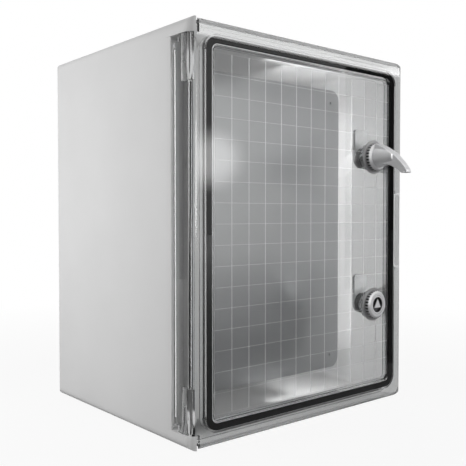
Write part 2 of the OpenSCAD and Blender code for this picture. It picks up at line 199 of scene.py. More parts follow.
world = bpy.data.worlds.new("white_room")
world.use_nodes = True
bpy.context.scene.world = world
room = world.node_tree
room.nodes.clear()
fill = add(room, "ShaderNodeBackground", Color=WHITE, Strength=ROOM_FILL)
seen = add(room, "ShaderNodeBackground", Color=WHITE, Strength=seen_level(room))
add(room, "ShaderNodeOutputWorld", Surface=mixed(room, seen_by_eye(room), fill, seen))
print("room light:", ROOM_FILL, "room in gloss:", ROOM_SEEN)

# %% [markdown]
# The cabinet stands on a pale floor. A plain white floor would throw too much light up and would show as a
# white patch in the door. So the paint is grey where it lights things, almost white to the camera, and has a
# painted shade in gloss near the cabinet. Close by, a share of the paint itself shows, and with it the
# shadow.

# %% Pale floor paint
PAINT_DARK, PAINT_PALE = 0.36, 0.40
PAINT_GRAIN = 30
SHADOW_START, SHADOW_END = 0.3, 0.9
NEAR_GLOW = 0.92
GLOSS_SHADE_NEAR = 0.12
FULL_GLOSS_AT = 3.0


def noise_of(tree, scale, detail=2.0, vector=None):
    """Noise in Object coordinates, or along another vector."""
    if vector is None:
        vector = add(tree, "ShaderNodeTexCoord").outputs["Object"]
    return add(tree, "ShaderNodeTexNoise", Scale=scale, Detail=detail, Vector=vector).outputs["Fac"]


def far_of(tree, vector):
    """The length of a vector."""
    node = add(tree, "ShaderNodeVectorMath", operation="LENGTH")
    feed(tree, node.inputs[0], vector)
    return node.outputs["Value"]


def floor_paint():
    """Pale paint that the camera sees almost white; it keeps the shadow, and has a painted shade in gloss
    nearby.
    """
    material, tree = new_material("pale_floor")
    tone = ramp(tree, noise_of(tree, PAINT_GRAIN, detail=3), 0, 1, PAINT_DARK, PAINT_PALE)
    far = far_of(tree, add(tree, "ShaderNodeTexCoord").outputs["Object"])
    share = ramp(tree, far, SHADOW_START, SHADOW_END, NEAR_GLOW, 1)
    # painted shade: in gloss the floor's glow is dimmed near the cabinet
    gloss_shade = ramp(tree, far, SHADOW_START, FULL_GLOSS_AT, GLOSS_SHADE_NEAR, 1)
    mirrored = add(tree, "ShaderNodeLightPath").outputs["Glossy Depth"]
    level = sums(tree, "MULTIPLY", seen_level(tree), ramp(tree, mirrored, 0, 1, 1, gloss_shade))
    paint = add(tree, "ShaderNodeBsdfDiffuse", Color=tone)
    glow = add(tree, "ShaderNodeEmission", Strength=level)
    shown = sums(tree, "MULTIPLY", seen_by_eye(tree), share)
    add(tree, "ShaderNodeOutputMaterial", Surface=mixed(tree, shown, paint, glow))
    return material


print("floor tones:", PAINT_DARK, PAINT_PALE)

# %% Floor
FLOOR_SIZE = 14
FLOOR_GAP = 0.5 * MM
begin()
bpy.ops.mesh.primitive_plane_add(size=FLOOR_SIZE, location=(0, 0, cad_box[0][2] - FLOOR_GAP))
floor = bpy.context.object
floor.name = "floor"
floor.data.materials.append(floor_paint())
print("floor side:", FLOOR_SIZE)

# %% [markdown]
# All lamps are soft rectangles, as a photographer's boxes are. In the cabinet hide four upright strips, two
# in front of the mounting plate and two behind it, and two flat panels that light its ceiling and its bottom.
# A stronger room could light the inside as well, but it would flatten the outside.

# %% Lamps in the cabinet
def soft_lamp(name, place, target, size, watts, reflected=False):
    """A soft lamp at a place, turned towards a target; it shows only in reflections, if at all."""
    bpy.ops.object.light_add(type="AREA", location=place)
    lamp = bpy.context.object
    lamp.name = name
    lamp.rotation_euler = (Vector(target) - Vector(place)).to_track_quat("-Z", "Y").to_euler()
    lamp.data.shape = "RECTANGLE"
    lamp.data.size, lamp.data.size_y = size
    lamp.data.energy = watts
    lamp.visible_transmission = False
    lamp.visible_camera = False
    lamp.visible_glossy = reflected


STRIP_SIZE = (0.01, 0.13)
PANEL_SIZE = (0.24, 0.10)
WALL_X = 0.146
CEILING, BOTTOM = (0, 0, 0.38), (0, 0, 0)
BEFORE_PLATE, BEHIND_PLATE = (0.0, -0.062), (0.04, -0.045)
UPPER, LOWER = 0.29, 0.095
for name, (across, deep), height, watts in (
        ("upper_strip_before", BEFORE_PLATE, UPPER, 0.19),
        ("upper_strip_behind", BEHIND_PLATE, UPPER, 0.19),
        ("lower_strip_before", BEFORE_PLATE, LOWER, 0.15),
        ("lower_strip_behind", BEHIND_PLATE, LOWER, 0.13)):
    soft_lamp(name, (across, deep, height), (WALL_X, deep, height), STRIP_SIZE, watts)
soft_lamp("ceiling_panel", (0, 0.01, 0.20), CEILING, PANEL_SIZE, 0.05)
soft_lamp("bottom_panel", (0, 0.01, 0.18), BOTTOM, PANEL_SIZE, 0.022)
print("lamps in the cabinet:", len(bpy.data.lights))

# %% [markdown]
# The main lamp stands to the left, level with the back of the box and a little above mid height, so the side
# wall is brightest towards its back. A lamp from the camera's side, one from the front and one from above
# soften the shadows, and one from the right lights the lock side and the back. One strong lamp would be
# simpler, but would leave most sides dark. Only the front and the top lamp show in gloss.

# %% Lamps round the cabinet
MIDDLE = (0, 0, 0.19)
soft_lamp("left_lamp", (-0.7, 0.17, 0.30), MIDDLE, (0.25, 0.25), 3.2)
soft_lamp("side_lamp", (-1.6, -1.0, 0.5), MIDDLE, (0.6, 1.0), 0.8)
soft_lamp("front_lamp", (0.4, -1.9, 0.6), MIDDLE, (1.2, 0.8), 16, reflected=True)
soft_lamp("top_lamp", (-0.2, -0.1, 1.9), MIDDLE, (1.4, 1.4), 6, reflected=True)
soft_lamp("right_lamp", (1.1, 1.2, 0.5), MIDDLE, (0.6, 1.0), 16)
print("lamps in all:", len(bpy.data.lights))

# %% [markdown]
# Gloss shows what stands opposite. A black screen to the right of the camera and a black mat on the floor
# keep the lock side of the door free of glare, so its seal reads black. A grey screen behind the hinge side
# darkens what faces left, which gives the clear hinge and the metal their contrast. The room could be made
# darker instead, but then everything would be. Only gloss and clear plastic see the screens.

# %% Dark cloth
WEAVE_SCALE = 400


def screen_cloth(name, lightest):
    """Matt dark cloth with a faint weave."""
    material, tree = new_material(name)
    tone = ramp(tree, noise_of(tree, WEAVE_SCALE), 0, 1, 0, lightest)
    paint = add(tree, "ShaderNodeBsdfDiffuse", Color=tone)
    add(tree, "ShaderNodeOutputMaterial", Surface=paint.outputs[0])
    return material


BLACK_CLOTH = screen_cloth("black_cloth", 0.02)
GREY_CLOTH = screen_cloth("grey_cloth", 0.25)
print("cloths:", BLACK_CLOTH.name, GREY_CLOTH.name)

# %% Dark screens
def hide_from(thing, *kinds):
    """Makes a thing invisible to some kinds of ray."""
    for kind in kinds:
        setattr(thing, "visible_" + kind, False)


def flat_card(name, place, size, material, tilt=90, turn=0):
    """A flat card at a place, tilted up from the floor and turned about Z; the camera doesn't see it."""
    begin()
    bpy.ops.mesh.primitive_plane_add(size=1, location=place,
                                     rotation=(math.radians(tilt), 0, math.radians(turn)))
    card = bpy.context.object
    card.name = name
    bpy.ops.object.mode_set(mode="EDIT")
    bpy.ops.transform.resize(value=(*size, 1), orient_type="LOCAL")
    bpy.ops.object.mode_set(mode="OBJECT")
    card.data.materials.append(material)
    hide_from(card, "camera", "diffuse", "shadow")
    lowest = min((card.matrix_world @ corner.co).z for corner in card.data.vertices)
    print(name, "from height", round(lowest, 3))
    return card


flat_card("right_screen", (1.30, -0.90, 0.38), (0.70, 0.76), BLACK_CLOTH)
flat_card("left_screen", (-1.15, 1.10, 0.30), (1.4, 1.2), GREY_CLOTH, turn=40)
flat_card("dark_mat", (0.75, -0.53, 0.001), (1.1, 0.25), BLACK_CLOTH, tilt=0, turn=-38.7)

# %% [markdown]
# A round lamp shows in the door as a soft blob beside the hinge. A real lamp would light the scene too, so
# this is a disc that only gloss sees, bright in the middle and fading to its rim.

# %% Round lamp in the gloss
BLOB_PLACE = (0.80, -1.30, 0.376)
BLOB_TURN = math.radians(40)
BLOB_RADIUS = 0.115
BLOB_SIDES = 48
BLOB_LEVEL = 4.5


def blob_glow():
    """Light that fades from the middle of the disc to its rim."""
    material, tree = new_material("blob_glow")
    far = far_of(tree, add(tree, "ShaderNodeTexCoord").outputs["Object"])
    level = ramp(tree, far, BLOB_RADIUS / 4, BLOB_RADIUS, BLOB_LEVEL, 0, shape="SMOOTHSTEP")
    light = add(tree, "ShaderNodeEmission", Strength=level)
    clear = add(tree, "ShaderNodeBsdfTransparent")
    both = add(tree, "ShaderNodeAddShader")
    feed(tree, both.inputs[0], light.outputs[0])
    feed(tree, both.inputs[1], clear.outputs[0])
    add(tree, "ShaderNodeOutputMaterial", Surface=both.outputs[0])
    return material


begin()
bpy.ops.mesh.primitive_circle_add(vertices=BLOB_SIDES, radius=BLOB_RADIUS, fill_type="NGON",
                                  location=BLOB_PLACE, rotation=(UPRIGHT, 0, BLOB_TURN))
blob = bpy.context.object
blob.name = "round_lamp"
blob.data.materials.append(blob_glow())
hide_from(blob, "camera", "diffuse", "transmission", "shadow")
print("round lamp radius:", BLOB_RADIUS)

# %% [markdown]
# High up beside the black screen hangs a long white card. The top edge of the door mirrors it, which makes
# that edge bright. A lamp there would brighten the whole door, so only gloss sees the card.

# %% High card in the gloss
CARD_PLACE = (0.78, -0.85, 0.657)
CARD_SIZE = (1.0, 0.12)
CARD_SOFT = 0.008
CARD_LEVEL = 7.5


def place_of(tree, source="Object"):
    """The X, Y and Z of a point, or of its normal."""
    vector = add(tree, "ShaderNodeTexCoord").outputs[source]
    return add(tree, "ShaderNodeSeparateXYZ", Vector=vector).outputs


def card_glow():
    """Light that starts softly at the lower edge of the card and fades upwards."""
    material, tree = new_material("card_glow")
    up = place_of(tree)["Y"]
    low = -CARD_SIZE[1] / 2
    starts = ramp(tree, up, low, low + CARD_SOFT, 0, 1)
    fades = ramp(tree, up, low, low + 4 * CARD_SOFT, CARD_LEVEL, CARD_LEVEL / 2)
    light = add(tree, "ShaderNodeEmission", Strength=sums(tree, "MULTIPLY", starts, fades))
    add(tree, "ShaderNodeOutputMaterial", Surface=light.outputs[0])
    return material


high_card = flat_card("high_card", CARD_PLACE, CARD_SIZE, card_glow())
hide_from(high_card, "transmission")

# %% [markdown]
# Moulded plastic is never one even colour: the mould is finely etched, and the pigment is a touch uneven. A
# picture of plastic could be laid on it, but noise has no seams and fits any piece. One node group gives any
# moulding or rubber its mottle, its gloss and its fine grain, in Object coordinates, which are metres here.

# %% Groups and shades
def new_group(name, inputs, outputs):
    """A shader node group with its sockets; returns its tree and the sockets that it puts out."""
    tree = bpy.data.node_groups.new(name, "ShaderNodeTree")
    for label, kind, value in inputs:
        socket = tree.interface.new_socket(label, in_out="INPUT", socket_type=kind)
        socket.default_value = value
    for label, kind in outputs:
        tree.interface.new_socket(label, in_out="OUTPUT", socket_type=kind)
    return tree, add(tree, "NodeGroupOutput").inputs


def shade_of(tree, colour, value):
    """A colour made lighter or darker by a value."""
    node = add(tree, "ShaderNodeVectorMath", operation="SCALE", Scale=value)
    feed(tree, node.inputs[0], colour)
    return node.outputs[0]


print("helpers for groups: new_group, shade_of")

# %% Skin of mouldings
FLOAT = "NodeSocketFloat"
COLOUR = "NodeSocketColor"
GREY = (0.6, 0.6, 0.6, 1)
SKIN_OUTPUTS = [("Colour", COLOUR), ("Roughness", FLOAT), ("Height", FLOAT)]
NOISE_LOW, NOISE_HIGH = 0.3, 0.7


def moulded_skin_group():
    """Mottle, gloss and etched grain of a moulding."""
    tree, result = new_group(
        "moulded_skin",
        [("Colour", COLOUR, GREY), ("Darkest", FLOAT, 0.97), ("Lightest", FLOAT, 1.03),
         ("Smoothest", FLOAT, 0.3), ("Roughest", FLOAT, 0.4),
         ("Mottle Scale", FLOAT, 18.0), ("Grain Scale", FLOAT, 2600.0)],
        SKIN_OUTPUTS)
    given = add(tree, "NodeGroupInput").outputs
    mottle = noise_of(tree, given["Mottle Scale"], detail=4)
    tone = ramp(tree, mottle, NOISE_LOW, NOISE_HIGH, given["Darkest"], given["Lightest"])
    gloss = ramp(tree, mottle, NOISE_LOW, NOISE_HIGH, given["Smoothest"], given["Roughest"])
    feed(tree, result["Colour"], shade_of(tree, given["Colour"], tone))
    feed(tree, result["Roughness"], gloss)
    feed(tree, result["Height"], noise_of(tree, given["Grain Scale"]))
    return tree


MOULDED = moulded_skin_group()
print("group:", MOULDED.name)

# %% [markdown]
# Plated and cast metal has a cloudy tone, and its gloss runs in fine upright streaks where it was drawn or
# rolled. Anisotropic gloss could give the streaks, but it needs a direction on each piece, so a second group
# stretches a fine noise upwards. A stretch of 1 leaves it even, as on a casting.

# %% Skin of metal
def metal_skin_group():
    """Cloudy tone, fine streaks and uneven gloss of plated or cast metal."""
    tree, result = new_group(
        "metal_skin",
        [("Colour", COLOUR, GREY), ("Darkest", FLOAT, 0.9), ("Lightest", FLOAT, 1.08),
         ("Smoothest", FLOAT, 0.2), ("Roughest", FLOAT, 0.4), ("Cloud Scale", FLOAT, 60.0),
         ("Streak Scale", FLOAT, 900.0), ("Streak Stretch", FLOAT, 0.08)],
        SKIN_OUTPUTS)
    given = add(tree, "NodeGroupInput").outputs
    stretch = add(tree, "ShaderNodeVectorMath", operation="MULTIPLY")
    factors = add(tree, "ShaderNodeCombineXYZ", X=1, Y=1, Z=given["Streak Stretch"])
    feed(tree, stretch.inputs[0], add(tree, "ShaderNodeTexCoord").outputs["Object"])
    feed(tree, stretch.inputs[1], factors.outputs[0])
    cloud = noise_of(tree, given["Cloud Scale"], detail=3)
    streak = noise_of(tree, given["Streak Scale"], vector=stretch.outputs[0])
    tone = ramp(tree, cloud, NOISE_LOW, NOISE_HIGH, given["Darkest"], given["Lightest"])
    gloss = ramp(tree, streak, NOISE_LOW, NOISE_HIGH, given["Smoothest"], given["Roughest"])
    feed(tree, result["Colour"], shade_of(tree, given["Colour"], tone))
    feed(tree, result["Roughness"], gloss)
    feed(tree, result["Height"], streak)
    return tree


METAL = metal_skin_group()
print("group:", METAL.name)

# %% [markdown]
# Small metal pieces read by their dark places: round the peg of a lock, in the grip grooves and on the sides
# of its head, and on the sheared edges of a cam. Light alone could show them, but at this size soft light
# washes them out. So three groups without inputs paint shade there: from a point's place or normal they work
# out how light it is.

# %% Painted shade on the locks and cams
LIGHT_OUTPUT = [("Light", FLOAT)]
RECESS_START, RECESS_END, RECESS_LIGHT = 0.4 * MM, 1.2 * MM, 0.1
EDGE_ON, FACE_ON, CUT_LIGHT = 0.3, 0.8, 0.25


def recess_shade_group(face):
    """Painted shade that darkens behind the face of a lock, in the recess round the peg."""
    tree, result = new_group("painted_recess_shade", [], LIGHT_OUTPUT)
    deep = place_of(tree)["Y"]
    feed(tree, result["Light"], ramp(tree, deep, face + RECESS_START, face + RECESS_END, 1, RECESS_LIGHT))
    return tree


def edge_shade_group():
    """Painted shade: light that is low on the sheared edges of a flat piece that lies across Y."""
    tree, result = new_group("painted_edge_shade", [], LIGHT_OUTPUT)
    flat = sums(tree, "ABSOLUTE", place_of(tree, "Normal")["Y"])
    feed(tree, result["Light"], ramp(tree, flat, EDGE_ON, FACE_ON, CUT_LIGHT, 1))
    return tree


upper_low, upper_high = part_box("upper_lock_housing")
lower_low, lower_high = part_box("lower_lock_housing")
RECESS_SHADE = recess_shade_group(lower_low.y)
EDGE_SHADE = edge_shade_group()
print("groups:", RECESS_SHADE.name, EDGE_SHADE.name)

# %% Painted shade in the grooves and on the sides of the lock heads
FACE_RADIUS, HEAD_RADIUS, BEVEL_HIGH = 13 * MM, 15.5 * MM, 2.2 * MM
GROOVE_DEEP, GROOVE_START, GROOVE_LIGHT = 0.6 * MM, 0.15 * MM, 0.15
FRONT_END, SIDE_START = 0.1 * MM, 0.25 * MM
SIDE_LIGHT = 0.45


def groove_shade_group(upper, lower, face):
    """Painted shade: light that fades in the grip grooves and on the sides of both lock heads."""
    tree, result = new_group("painted_groove_shade", [], LIGHT_OUTPUT)
    place = place_of(tree)
    across = sums(tree, "SUBTRACT", place["X"], upper.x)
    from_middle = sums(tree, "SUBTRACT", place["Z"], (upper.z + lower.z) / 2)
    along = sums(tree, "SUBTRACT", sums(tree, "ABSOLUTE", from_middle), (upper.z - lower.z) / 2)
    radius = far_of(tree, add(tree, "ShaderNodeCombineXYZ", X=across, Y=along).outputs[0])
    profile = ramp(tree, place["Y"], face, face + BEVEL_HIGH, FACE_RADIUS, HEAD_RADIUS)
    sunk = sums(tree, "SUBTRACT", radius, profile)
    groove = ramp(tree, sunk, -GROOVE_DEEP, -GROOVE_START, GROOVE_LIGHT, 1)
    front = ramp(tree, place["Y"], face + FRONT_END, face + SIDE_START, 1, 0)
    # painted shade: the sides of the heads are darker than their faces
    side = ramp(tree, place["Y"], face + BEVEL_HIGH / 2, face + BEVEL_HIGH, 1, SIDE_LIGHT)
    light = sums(tree, "MULTIPLY", sums(tree, "MAXIMUM", groove, front), side)
    feed(tree, result["Light"], light)
    return tree


GROOVE_SHADE = groove_shade_group((upper_low + upper_high) / 2, (lower_low + lower_high) / 2, lower_low.y)
print("group:", GROOVE_SHADE.name)

# %% [markdown]
# Each finish is one material. A separate node tree for each could be drawn by hand, but they differ only in
# values: the group feeds colour, roughness and a small bump to the Principled shader, and what is even all
# over, such as Metallic, is set on the shader itself.

# %% Finish builder
finishes = {}


def skin_finish(name, group, colour, relief, depth, skin, sunk=None, **shader):
    """Keeps a material whose skin comes from a group; relief is the strength of its bump and depth the
    height in metres. A second group, if given, darkens the colour as painted shade."""
    material, tree = new_material(name)
    source = add(tree, "ShaderNodeGroup", node_tree=group)
    source.inputs["Colour"].default_value = (*colour, 1)
    for key, value in skin.items():
        source.inputs[key].default_value = value
    tint = source.outputs["Colour"]
    if sunk is not None:
        tint = shade_of(tree, tint, add(tree, "ShaderNodeGroup", node_tree=sunk).outputs["Light"])
    bump = add(tree, "ShaderNodeBump", Strength=relief, Distance=depth, Height=source.outputs["Height"])
    surface = add(tree, "ShaderNodeBsdfPrincipled", Base_Color=tint, Roughness=source.outputs["Roughness"],
                  Normal=bump.outputs["Normal"], **shader)
    add(tree, "ShaderNodeOutputMaterial", Surface=surface.outputs[0])
    finishes[name] = material


print("builder: skin_finish")

# %% [markdown]
# The box is light grey satin plastic with a fine grain. The seal is black foam with open pores, and the lock
# rings are pale rubber. All three could be one plastic in three colours, but their gloss and grain differ.

# %% Plastic and rubber
skin_finish("grey_moulding", MOULDED, (0.58, 0.58, 0.58), relief=0.12, depth=0.15 * MM,
            skin={"Darkest": 0.985, "Lightest": 1.015, "Smoothest": 0.50, "Roughest": 0.56},
            Specular_IOR_Level=0.25)
skin_finish("foam_seal", MOULDED, (0.006, 0.006, 0.006), relief=0.5, depth=0.3 * MM,
            skin={"Darkest": 0.8, "Lightest": 1.3, "Smoothest": 0.75, "Roughest": 0.9,
                  "Grain Scale": 1500.0},
            Specular_IOR_Level=0.1)
skin_finish("ring_rubber", MOULDED, (0.55, 0.55, 0.55), relief=0.2, depth=0.1 * MM,
            skin={"Darkest": 0.8, "Lightest": 1.2, "Smoothest": 0.5, "Roughest": 0.65})
print("finishes:", ", ".join(finishes))

# %% [markdown]
# The plate, screws, nuts and pins are plated steel, the inserts are brass. They are plain metal with more or
# less gloss. Separate pictures of each metal could be used, but the streaks of one group fit them all.

# %% Plated metal
skin_finish("zinc_sheet", METAL, (0.46, 0.465, 0.47), relief=0.01, depth=0.02 * MM,
            skin={"Smoothest": 0.29, "Roughest": 0.31, "Darkest": 0.97, "Lightest": 1.03,
                  "Cloud Scale": 35.0},
            Metallic=1.0)
for name, colour, smoothest, roughest in (
        ("zinc_screw", (0.66, 0.67, 0.68), 0.2, 0.34),
        ("zinc_nut", (0.40, 0.405, 0.41), 0.22, 0.36),
        ("brass", (0.72, 0.55, 0.26), 0.2, 0.35),
        ("pin_steel", (0.58, 0.58, 0.59), 0.15, 0.3)):
    skin_finish(name, METAL, colour, relief=0.05, depth=0.05 * MM,
                skin={"Smoothest": smoothest, "Roughest": roughest}, Metallic=1.0)
print("finishes:", len(finishes))

# %% [markdown]
# The cams, lock heads, cores and the handle are satin: cast or stamped, then plated. Pure metal would mirror
# the dark screens and turn black, so part of their colour is matt, by a Metallic below 1.

# %% Satin metal
# painted shade: the cams darken on their cut edges, the lock heads in their grooves and on their sides, the
# cores round the peg
skin_finish("zinc_cam", METAL, (0.86, 0.865, 0.87), relief=0.06, depth=0.05 * MM,
            skin={"Smoothest": 0.4, "Roughest": 0.55}, sunk=EDGE_SHADE, Metallic=0.4)
skin_finish("lock_chrome", METAL, (0.90, 0.90, 0.91), relief=0.03, depth=0.03 * MM,
            skin={"Smoothest": 0.34, "Roughest": 0.46, "Darkest": 0.97, "Lightest": 1.03},
            sunk=GROOVE_SHADE, Metallic=0.7)
skin_finish("lock_core_metal", METAL, (0.84, 0.84, 0.85), relief=0.06, depth=0.05 * MM,
            skin={"Smoothest": 0.4, "Roughest": 0.55}, sunk=RECESS_SHADE, Metallic=0.6)
skin_finish("handle_metal", METAL, (0.82, 0.82, 0.83), relief=0.05, depth=0.05 * MM,
            skin={"Smoothest": 0.46, "Roughest": 0.54, "Darkest": 0.96, "Lightest": 1.04,
                  "Streak Stretch": 1.0},
            Metallic=0.78)
print("opaque finishes:", len(finishes))

# %% [markdown]
# The clear door could be a thin see-through skin, but the real one is thick: light bends at each face, so
# rims and ribs show bright and dark lines. So it is a solid that transmits light, and its colour is painted
# darker where it is seen edge on, a painted shade for the dark lines of its rims. Lamps pass through it by a
# Transparent shader on shadow rays, which lights the inside without noise.

# %% Clear moulding
CLEAR_INDEX = 1.58
HAZE_SCALE = 25
EDGE_START, EDGE_END, EDGE_LIGHT = 0.7, 0.95, 0.25


def clear_moulding(name, tint, clearest, cloudiest, clear_share=1.0):
    """Clear plastic with a slight haze and painted shade where it is seen edge on; what isn't clear is milky.
    """
    material, tree = new_material(name)
    gloss = ramp(tree, noise_of(tree, HAZE_SCALE, detail=3), 0, 1, clearest, cloudiest)
    # painted shade: the colour darkens where the surface is seen edge on
    turned = add(tree, "ShaderNodeLayerWeight").outputs["Facing"]
    light = ramp(tree, turned, EDGE_START, EDGE_END, 1, EDGE_LIGHT)
    surface = add(tree, "ShaderNodeBsdfPrincipled", Base_Color=shade_of(tree, tint, light), Roughness=gloss,
                  IOR=CLEAR_INDEX, Transmission_Weight=clear_share)
    per_face = [math.sqrt(part) for part in tint]
    through = add(tree, "ShaderNodeBsdfTransparent", Color=(*per_face, 1))
    shadow = add(tree, "ShaderNodeLightPath").outputs["Is Shadow Ray"]
    add(tree, "ShaderNodeOutputMaterial", Surface=mixed(tree, shadow, surface, through))
    return material


finishes["clear_moulding"] = clear_moulding("clear_moulding", (0.90, 0.905, 0.905),
                                            clearest=0.0, cloudiest=0.008)
print("finishes:", len(finishes))

# %% [markdown]
# The record names one slot per node, so each solid gets the finish of its slot in one loop, not one by one.

# %% Finishes on the solids
for part in frame["record"]["subparts"]:
    solid = nodes[part["node"]]
    solid.data.materials.clear()
    solid.data.materials.append(finishes[part["material_slot"]])

# %% [markdown]
# Castings, plated pieces and mouldings have no sharp edge, and where light catches an edge decides how they
# look. So the locks, cams, plate, box and door get a small Bevel. The cast handle is remeshed and smoothed
# until its edges are as round as a casting's. New meshes could replace them all, but modifiers on top leave
# the solids as they are.

# %% Rounded edges
EDGE_ROUND = 0.35 * MM
SHELL_ROUND = 0.7 * MM
CAM_ROUND = 0.8 * MM
ROUND_STEPS = 2
SHARP_ANGLE = math.radians(40)
WELD_GAP = 0.005 * MM


def round_edges(solid, width):
    """Merges the solid's split edges and bevels the sharp ones."""
    weld = solid.modifiers.new("weld", "WELD")
    weld.merge_threshold = WELD_GAP
    bevel = solid.modifiers.new("round", "BEVEL")
    bevel.width = width
    bevel.segments = ROUND_STEPS
    bevel.limit_method = "ANGLE"
    bevel.angle_limit = SHARP_ANGLE
    bevel.harden_normals = True


for name in ("upper_cam", "lower_cam"):
    round_edges(nodes[name], CAM_ROUND)
for name in ("mounting_plate", "upper_lock_nut", "lower_lock_nut", "upper_lock_housing",
             "lower_lock_housing", "upper_lock_core", "lower_lock_core", "door_panel"):
    round_edges(nodes[name], EDGE_ROUND)
round_edges(nodes["body_shell"], SHELL_ROUND)
print("beveled solids:", sum(bool(solid.modifiers) for solid in nodes.values()))

# %% Smooth skin of the cast handle
CAST_GRAIN = 0.35 * MM
CAST_PASSES = 14


def cast_edges(solid):
    """Turns the solid into one even skin and smooths it like a casting."""
    skin = solid.modifiers.new("skin", "REMESH")
    skin.mode = "VOXEL"
    skin.voxel_size = CAST_GRAIN
    skin.use_smooth_shade = True
    smooth = solid.modifiers.new("soft", "SMOOTH")
    smooth.iterations = CAST_PASSES


cast_edges(nodes["wing_handle"])
print("modifiers on the handle:", [modifier.name for modifier in nodes["wing_handle"].modifiers])

# %% [markdown]
# New pieces are modelled as by hand: a primitive at its place, shaped in edit mode. Three helpers serve them
# all. One picks edges by where they lie, as one would with the mouse. One turns a flat face into a ring of
# even width, and one puts a finished piece on its body.

# %% Edges and rings
def pick_edges(test):
    """In edit mode, selects the edges that pass a test of the edge and its middle."""
    bpy.ops.mesh.select_mode(type="EDGE")
    bpy.ops.mesh.select_all(action="DESELECT")
    mesh = bmesh.from_edit_mesh(bpy.context.object.data)
    for edge in mesh.edges:
        middle = (edge.verts[0].co + edge.verts[1].co) / 2
        edge.select = bool(test(edge, middle))
    mesh.select_flush_mode()
    bmesh.update_edit_mesh(bpy.context.object.data)


def ring_of_face(width, depth):
    """In edit mode, turns the one flat face into a ring of a width and pulls the ring along Y."""
    bpy.ops.mesh.select_all(action="SELECT")
    bpy.ops.mesh.inset(thickness=width)
    bpy.ops.mesh.delete(type="FACE")
    bpy.ops.mesh.select_all(action="SELECT")
    bpy.ops.mesh.extrude_region_move(TRANSFORM_OT_translate={"value": (0, depth, 0)})
    bpy.ops.mesh.select_all(action="SELECT")
    bpy.ops.mesh.normals_make_consistent(inside=False)


print("helpers for edit mode: pick_edges, ring_of_face")

# %% Finished pieces
SMOOTH_ANGLE = math.radians(35)


def finish_piece(name, body, slot, replaced=(), look=None):
    """Applies the place, names the piece, gives it its slot's finish or its own, and puts it on its body."""
    bpy.ops.object.mode_set(mode="OBJECT")
    piece = bpy.context.object
    bpy.ops.object.transform_apply(location=True, rotation=True, scale=True)
    bpy.ops.object.shade_smooth_by_angle(angle=SMOOTH_ANGLE)
    piece.name = name
    piece.data.name = name
    piece.data.materials.clear()
    piece.data.materials.append(finishes[slot] if look is None else look)
    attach(piece, body)
    if replaced:
        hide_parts(*replaced)
    print(name, "faces:", len(piece.data.polygons))


print("helper for pieces: finish_piece")

# %% [markdown]
# The seal is foam poured into the groove between two ribs, so its free face swells into a crown. A profile
# could be swept along a curve, but a ring cut from one flat face keeps its width round the corners by itself.
# So a plane gets round corners, is inset to a ring, and is extruded and beveled on its free side.

# %% Foam seal
SEAL_WIDTH = 6.5 * MM
SEAL_CORNER = 13.25 * MM
SEAL_CROWN = 1.2 * MM
CORNER_STEPS, CROWN_STEPS = 12, 4
NEAR = 0.1 * MM
FLAT = 0.5


def round_ring(low, high, front, corner, steps, width, depth):
    """In edit mode, a ring with round corners between two places, from its front to a depth behind it."""
    begin()
    middle = (low + high) / 2
    bpy.ops.mesh.primitive_plane_add(size=1, rotation=(UPRIGHT, 0, 0), location=(middle.x, front, middle.z))
    bpy.ops.object.mode_set(mode="EDIT")
    bpy.ops.transform.resize(value=(high.x - low.x, 1, high.z - low.z))
    bpy.ops.mesh.bevel(offset=corner, segments=steps, affect="VERTICES")
    ring_of_face(width, depth)


seal_low, seal_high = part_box("door_seal")
round_ring(seal_low, seal_high, seal_low.y, SEAL_CORNER, CORNER_STEPS, SEAL_WIDTH, seal_high.y - seal_low.y)
bpy.ops.object.mode_set(mode="OBJECT")
bpy.ops.object.transform_apply(location=True, rotation=True, scale=True)
bpy.ops.object.mode_set(mode="EDIT")
pick_edges(lambda edge, middle: middle.y > seal_high.y - NEAR
           and any(abs(face.normal.y) < FLAT for face in edge.link_faces))
bpy.ops.mesh.bevel(offset=SEAL_CROWN, segments=CROWN_STEPS, affect="EDGES")
finish_piece("foam_seal", "door", "foam_seal", ["door_seal"])

# %% [markdown]
# Under each lock head lies a flat sealing ring. The head squeezes it, so its free rim is round. A torus would
# be too round, so a filled circle is inset to a ring, extruded and beveled along its outer edges.

# %% Lock rings
RING_SIDES = 72
RING_ROUND = 0.4 * MM
EDGE_STEPS = 3
BARREL_RADIUS = 10.9 * MM
for lock in ("upper", "lower"):
    low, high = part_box(f"{lock}_lock_ring")
    middle = (low + high) / 2
    radius = (high.x - low.x) / 2
    begin()
    bpy.ops.mesh.primitive_circle_add(vertices=RING_SIDES, radius=radius, fill_type="NGON",
                                      rotation=(UPRIGHT, 0, 0), location=(middle.x, low.y, middle.z))
    bpy.ops.object.mode_set(mode="EDIT")
    ring_of_face(radius - BARREL_RADIUS, high.y - low.y)
    pick_edges(lambda edge, place: place.xy.length > radius - NEAR
               and any(abs(face.normal.z) > FLAT for face in edge.link_faces)
               and any(abs(face.normal.z) < FLAT for face in edge.link_faces))
    bpy.ops.mesh.bevel(offset=RING_ROUND, segments=EDGE_STEPS, affect="EDGES")
    finish_piece(f"{lock}_squeezed_ring", "door", "ring_rubber", [f"{lock}_lock_ring"])

# %% [markdown]
# The door plate carries a grid of fine moulded lines on its inner face. They could be drawn in the material,
# but real lines bend light and throw shade. So a grid primitive becomes a lattice of thin bars with the
# Wireframe modifier, and is then pressed flat against the plate. The grid is stretched upwards before that
# and pressed back after it, which makes the lines across the finer ones.

